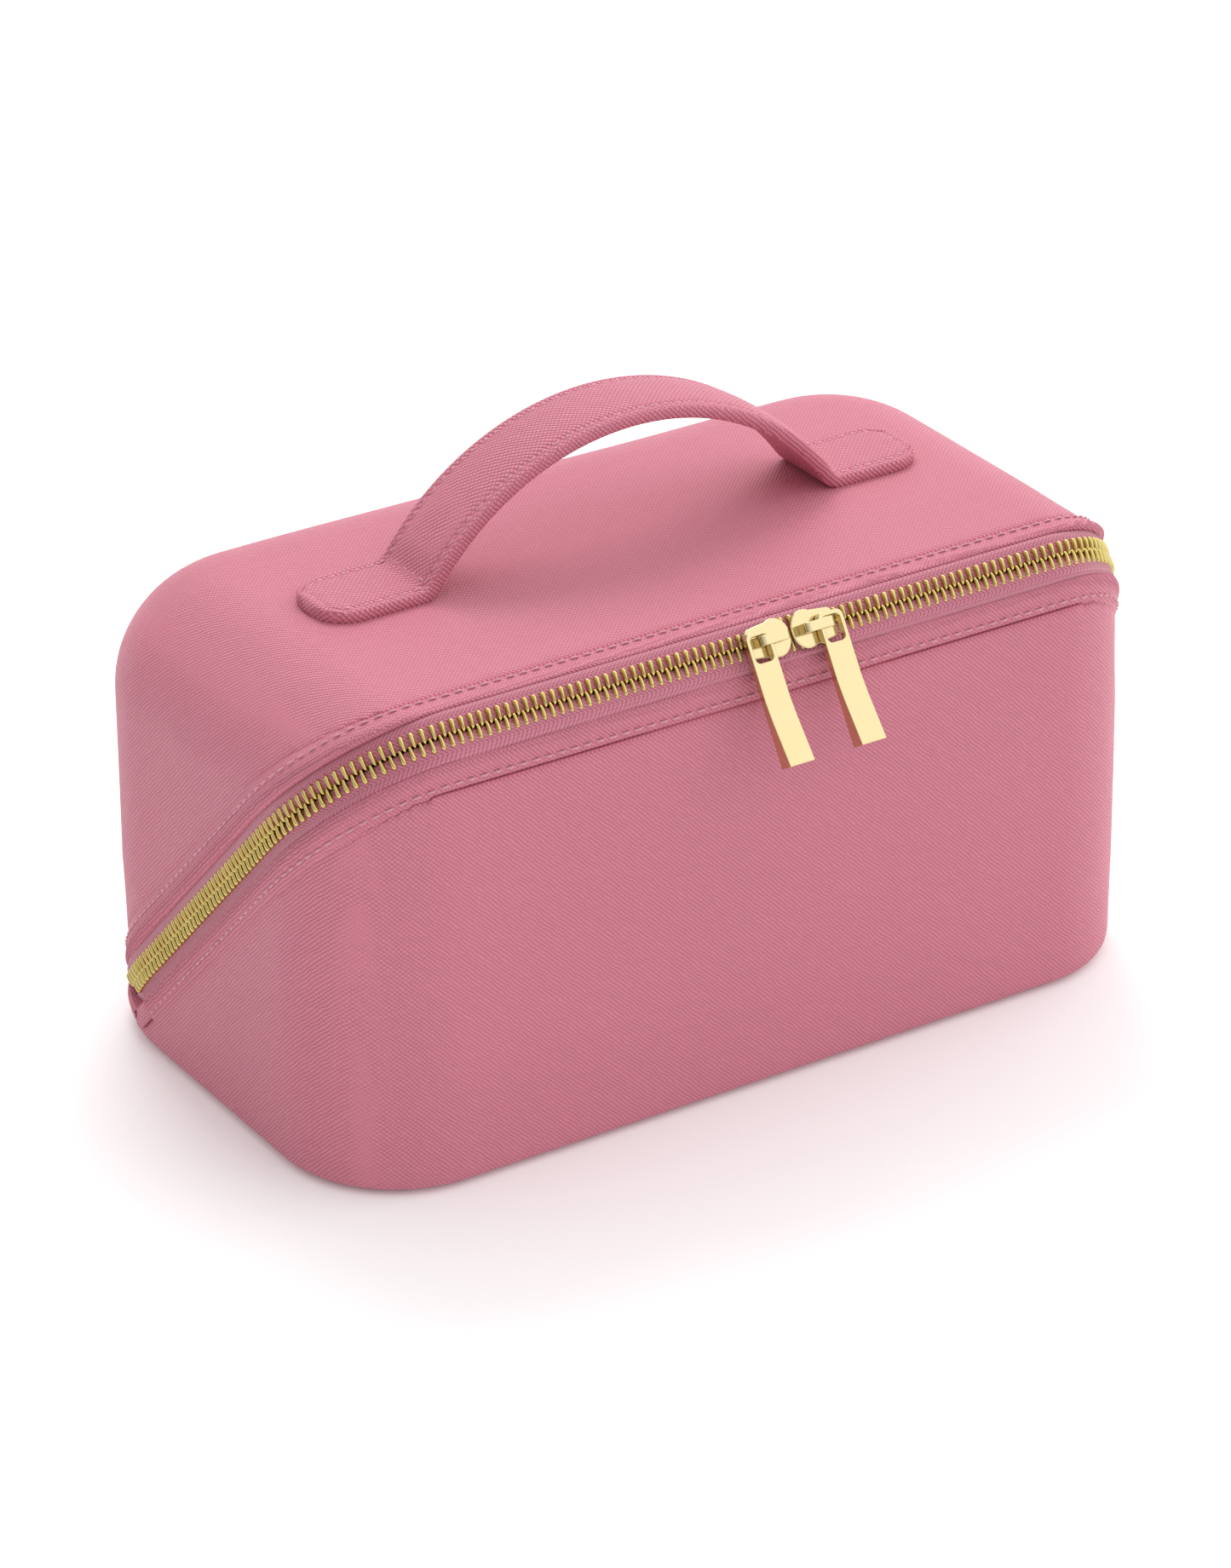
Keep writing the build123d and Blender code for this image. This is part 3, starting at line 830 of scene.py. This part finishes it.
def strap():
    """Padded strap with rolled edges and a sunken seam round its upper panel."""
    low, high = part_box("handle_cover")
    places, rows = spaced(smooth_path(strap_line(), 6), 0.8 * MM)
    line = rows[0]
    total = places[-1]
    wide = high.y - low.y
    side = np.array(Y)
    normal = unit(np.cross(np.gradient(line, axis=0), side))
    if normal[len(normal) // 2][2] < 0:
        normal = -normal
    across = np.r_[np.linspace(-1, -0.62, 12), np.linspace(-0.5, 0.5, 9), np.linspace(0.62, 1, 12)]
    under = across[::-1][1:-1]
    rings = []
    for index, place in enumerate(places):
        from_end = min(place, total - place)
        half = half_width(from_end, wide, STRAP_END)
        rise = min(max((line[index][2] - LID_TOP - STRAP_THICK) / (6 * MM), 0.0), 1.0)
        end_drop = rolled_off(from_end)
        heights = [strap_section(v, 0.35 + 0.65 * rise) - end_drop
                   - GROOVE_DEEP * channel(from_end) * (abs(v) < 0.8) for v in across]
        heights += [rolled_off((1 - abs(v)) * STRAP_HALF) - STRAP_THICK + end_drop * 0.6 for v in under]
        rings.append([line[index] + side * half * v + normal[index] * height
                      for v, height in zip((*across, *under), heights)])
    rings = np.array(rings)
    count = rings.shape[1]
    faces = grid_faces(len(rings), count, around=True) + end_caps(len(rings), count)
    piece = add_piece("strap", rings.reshape(-1, 3), faces, "lid", STRAP_LEATHER,
                      replaced=("handle_cover", "handle_backing", "handle_padding"))
    strap_seams(line, normal, places, wide)
    return piece


def strap_seams(line, normal, places, wide):
    """Stitching down both sides and round the ends, and a row across each bend."""
    total = places[-1]
    side = np.array(Y)
    inner = STRAP_END - STRAP_SEAM

    def on(place, offset):
        spot = np.array([np.interp(place, places, line[:, axis]) for axis in range(3)])
        up = np.array([np.interp(place, places, normal[:, axis]) for axis in range(3)])
        return spot + side * offset - up * 0.32 * MM, up

    start, end = STRAP_SEAM + inner, total - STRAP_SEAM - inner
    reach = wide / 2 - STRAP_SEAM
    flank = reach - inner
    quarter = [(math.sin(turn) * inner, math.cos(turn) * inner) for turn in np.linspace(0, math.pi / 2, 12)]
    points = [on(place, -reach) for place in np.arange(start, end, 1 * MM)]
    points += [on(end + sine, -flank - cosine) for sine, cosine in quarter]
    points += [on(end + cosine, flank + sine) for sine, cosine in quarter]
    points += [on(place, reach) for place in np.arange(end, start, -1 * MM)]
    points += [on(start - sine, flank + cosine) for sine, cosine in quarter]
    points += [on(start - cosine, -flank - sine) for sine, cosine in quarter]
    spots = np.array([p for p, _ in points])
    ups = np.array([n for _, n in points])
    seam("strap_seam", "lid", spots, ups)
    for name, place in (("left", STRAP_CROSS), ("right", total - STRAP_CROSS)):
        row = [on(place, offset) for offset in np.linspace(-reach, reach, 24)]
        seam(f"strap_{name}_cross_seam", "lid", np.array([p + n * 0.4 * MM for p, n in row]),
             np.array([n for _, n in row]))


# ------------------------------------------------------------------------------------ the inside
def dress(node_name, material):
    """Gives a CAD node its own material."""
    data = NODES[node_name].data
    data.materials.clear()
    data.materials.append(material)


def padded_panel(name, source):
    """Foam divider in a sewn cover that swells between its edges, blown up as cloth."""
    piece = copy_of(name, source)
    mesh = remesh(piece, PAD_VOXEL, 2)
    start, _ = read_points(mesh)
    centre = start.mean(axis=0)
    thin = int(np.argmin(np.ptp(start, axis=0)))
    start[:, thin] = centre[thin] + (start[:, thin] - centre[thin]) * PAD_SLIM
    mesh.vertices.foreach_set("co", start.ravel())
    mesh.update()
    cloth = piece.modifiers.new("cloth", "CLOTH")
    cloth.settings.use_pressure = True
    cloth.settings.uniform_pressure_force = 4
    cloth.settings.effector_weights.gravity = 0
    cloth.settings.quality = 5
    cloth.point_cache.frame_end = 20
    for step in range(1, 21):
        bpy.context.scene.frame_set(step)
    mesh = bake(piece)
    bpy.context.scene.frame_set(1)
    blown, _ = read_points(mesh)
    move = blown - start
    far = np.linalg.norm(move, axis=1, keepdims=True)
    blown = start + move * np.minimum(1, PAD_SWELL / np.maximum(far, 1e-9))
    mesh.vertices.foreach_set("co", blown.ravel())
    mesh.update()
    divide = piece.modifiers.new("subdivision", "SUBSURF")
    divide.levels = 1
    bake(piece)
    settle(piece, "tray", PAD_CLOTH, source)
    return piece


def soft_hinge():
    """Strip of leather over the hinge, bowed out a little between its long edges."""
    low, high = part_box("hinge_strip")
    rows, columns = 17, 60
    verts = []
    for row in range(rows):
        z = low.z + (high.z - low.z) * row / (rows - 1)
        bulge = HINGE_BULGE * math.sin(math.pi * row / (rows - 1))
        for column in range(columns):
            x = low.x + (high.x - low.x) * column / (columns - 1)
            verts.append((x, high.y + HINGE_PROUD + bulge, z))
    inner = [(x, y - HINGE_THICK, z) for x, y, z in verts]
    faces = grid_faces(rows, columns)
    back = [tuple(reversed([len(verts) + i for i in face])) for face in faces]
    border = list(range(columns)) + [row * columns + columns - 1 for row in range(1, rows)]
    border += [(rows - 1) * columns + column for column in range(columns - 2, -1, -1)]
    border += [row * columns for row in range(rows - 2, 0, -1)]
    rim = [(b, a, a + len(verts), b + len(verts)) for a, b in zip(border, border[1:] + border[:1])]
    piece = add_piece("soft_hinge", verts + inner, faces + back + rim, None, LEATHER,
                      replaced=("hinge_strip",))
    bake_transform(piece)
    return piece


def pocket_band():
    """Elastic at the pocket's mouth, with ribs across it that its gathering has drawn up."""
    low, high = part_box("pocket_elastic")
    stations = int((high.x - low.x) / (0.5 * MM))
    around = [(0.03, 0.95), (0.0, 0.5), (0.04, 0.12), (0.3, 0.0),
              (0.7, 0.0), (0.96, 0.12), (1.0, 0.5), (0.97, 0.95)]
    verts = []
    for station in range(stations + 1):
        x = low.x + (high.x - low.x) * station / stations
        drawn = 0.22 * (0.5 + 0.5 * math.cos(2 * math.pi * (x - low.x) / (2.2 * MM)))
        for across, down in around:
            rise = down + drawn * (1 - down) if down < 0.5 else down
            verts.append((x, low.y + (high.y - low.y) * across, low.z + (high.z - low.z) * rise))
    faces = grid_faces(stations + 1, len(around), around=True)
    faces.append(tuple(range(len(around))))
    faces.append(tuple(reversed(range(stations * len(around), len(verts)))))
    return add_piece("pocket_band", verts, faces, "lid", ELASTIC,
                     replaced=("pocket_elastic",))


def pocket_sheet():
    """Net of the lid's pocket, sewn round its edge, hanging a little and gathered at its mouth."""
    low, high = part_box("lid_pocket")
    columns, rows = 181, 73
    verts = []
    for row in range(rows):
        along = row / (rows - 1)
        for column in range(columns):
            across = column / (columns - 1)
            x = low.x + (high.x - low.x) * across
            hang = min(1, 7 * min(across, 1 - across)) * min(1, 3 * (1 - along))
            hang = hang * hang * (3 - 2 * hang)
            gather = 0.5 * math.sin(2 * math.pi * x / (8.5 * MM) + 2 * math.sin(x / (23 * MM)))
            slack = 0.25 * noise.noise((x / (16 * MM), along * 4, 0.0))
            drop = hang * (0.72 + 0.22 * gather * max(0, 1 - 2.2 * along) + slack * 0.4)
            z = high.z - (high.z - low.z) * min(0.97, drop + 0.03)
            verts.append((x, low.y + (high.y - low.y) * along, z))
    piece = add_piece("pocket_sheet", verts, grid_faces(rows, columns), "lid", NET,
                      replaced=("lid_pocket",))
    pocket_band()


# --------------------------------------------------------------------------------------- staging
def floor():
    ground = bpy.data.meshes.new("floor")
    ground.from_pydata([(-4, -4, 0), (4, -4, 0), (4, 4, 0), (-4, 4, 0)], [], [(0, 1, 2, 3)])
    ground.update()
    stage = bpy.data.objects.new("floor", ground)
    stage.location.z = -0.0004
    bpy.context.scene.collection.objects.link(stage)
    material, _, shader = new_material("pale_floor")
    shader.inputs["Base Color"].default_value = (FLOOR_TONE, FLOOR_TONE, FLOOR_TONE, 1)
    shader.inputs["Emission Color"].default_value = (1, 1, 1, 1)
    shader.inputs["Emission Strength"].default_value = FLOOR_GLOW
    shader.inputs["Roughness"].default_value = 0.9
    shader.inputs["Specular IOR Level"].default_value = 0.1
    ground.materials.append(material)


def softbox(name, place, target, size, power):
    light = bpy.data.lights.new(name, "AREA")
    light.shape = "RECTANGLE"
    light.size, light.size_y = size
    light.energy = power
    lamp = bpy.data.objects.new(name, light)
    lamp.location = place
    lamp.rotation_euler = (Vector(target) - Vector(place)).to_track_quat("-Z", "Y").to_euler()
    bpy.context.scene.collection.objects.link(lamp)


def world():
    """White studio, darker towards the horizon and to the left."""
    studio = bpy.data.worlds.new("studio")
    studio.use_nodes = True
    tree = studio.node_tree
    sky = tree.nodes["Background"]
    place = node(tree, "ShaderNodeTexCoord")
    way = node(tree, "ShaderNodeSeparateXYZ")
    tree.links.new(place.outputs["Generated"], way.inputs[0])
    rise = node(tree, "ShaderNodeMapRange", interpolation_type="SMOOTHSTEP")
    rise.inputs["From Max"].default_value = SKY_RISE
    rise.inputs["To Min"].default_value = SKY_HORIZON
    rise.inputs["To Max"].default_value = SKY_TOP
    tree.links.new(way.outputs[2], rise.inputs["Value"])
    tilt = math_node(tree, "ADD", times(tree, way.outputs[0], SKY_SIDE), 1.0)
    level = times(tree, rise.outputs[0], tilt)
    sky.inputs[0].default_value = (1, 1, 1, 1)
    tree.links.new(level, sky.inputs[1])
    bpy.context.scene.world = studio


def lights():
    world()
    softbox("back_light", (0.25, 0.75, 1.2), (0, 0, 0.05), (0.7, 0.6), 7.0)


def camera():
    data = bpy.data.cameras.new("camera")
    data.sensor_fit = "VERTICAL"
    data.sensor_height = 36
    data.lens = FOCAL
    data.shift_x, data.shift_y = SHIFT
    eye = bpy.data.objects.new("camera", data)
    turn, lift = math.radians(AZIMUTH), math.radians(ELEVATION)
    back = Vector((math.sin(turn) * math.cos(lift), -math.cos(turn) * math.cos(lift), math.sin(lift)))
    eye.location = AIM + back * DISTANCE
    eye.rotation_euler = (-back).to_track_quat("-Z", "Y").to_euler()
    bpy.context.scene.collection.objects.link(eye)
    bpy.context.scene.camera = eye


def tapes():
    """The tray's tape has a raised herringbone fold, the lid's turns in under its rim."""
    middle = (TRAY_EDGE + LID_EDGE) / 2
    lower = [middle - step * MM for step in (2.3, 3.3, 4.1, 4.6, 5.2, 5.8, 6.3)] + [TRAY_EDGE - 0.4 * MM]
    ribbon("lower_tape", "tray", "lower_zip_tape", lower, (0.3, 0.35, 0.3, 0.7, 1.0, 0.9, 0.5, 0.1), -1)
    upper = [middle + step * MM for step in (2.3, 3.2, 4.1, 4.9, 5.6)] + [LID_EDGE + 0.4 * MM]
    ribbon("upper_tape", "lid", "upper_zip_tape", upper, (0.3, 0.35, 0.4, 0.35, 0.2, 0.0), 1)


def build():
    soft_shell("tray_skin", "tray_shell", "tray", TRAY_EDGE)
    soft_shell("lid_skin", "lid_shell", "lid", LID_EDGE)
    rolled_rim("tray_rim_roll", "tray", "tray_rim_binding", TRAY_EDGE, -1)
    rolled_rim("lid_rim_roll", "lid", "lid_rim_binding", LID_EDGE, 1)
    back_roll("tray_back_roll", "tray", "tray_rim_binding", -1, TRAY_EDGE)
    back_roll("lid_back_roll", "lid", "lid_rim_binding", 1, LID_EDGE)
    rim_seam("tray_seam", "tray", "tray_rim_binding", TRAY_EDGE, -1)
    rim_seam("lid_seam", "lid", "lid_rim_binding", LID_EDGE, 1)
    tapes()
    zip_teeth("tray_teeth", "tray", "lower_zip_teeth", -1)
    zip_teeth("lid_teeth", "lid", "upper_zip_teeth", 1)
    strap()
    soft_hinge()
    for name in ("long_divider", "left_cross_divider", "right_cross_divider"):
        padded_panel(name.replace("divider", "pad"), name)
    pocket_sheet()
    for side in ("left", "right"):
        plated(side + "_slider", side + "_slider")
        plated(side + "_slider_bridge", side + "_slider")
        plated(side + "_zip_pull", side + "_pull")
    for name in ("tray_rim_binding", "lid_rim_binding"):
        dress(name, LEATHER)
    for name in ("tray_lining", "lid_lining", "lower_zip_tape", "upper_zip_tape", "base_board", "lid_board",
                 "handle_anchor_plates"):
        dress(name, LINING)


build()
floor()
lights()
camera()
bpy.context.scene.view_settings.view_transform = "Standard"
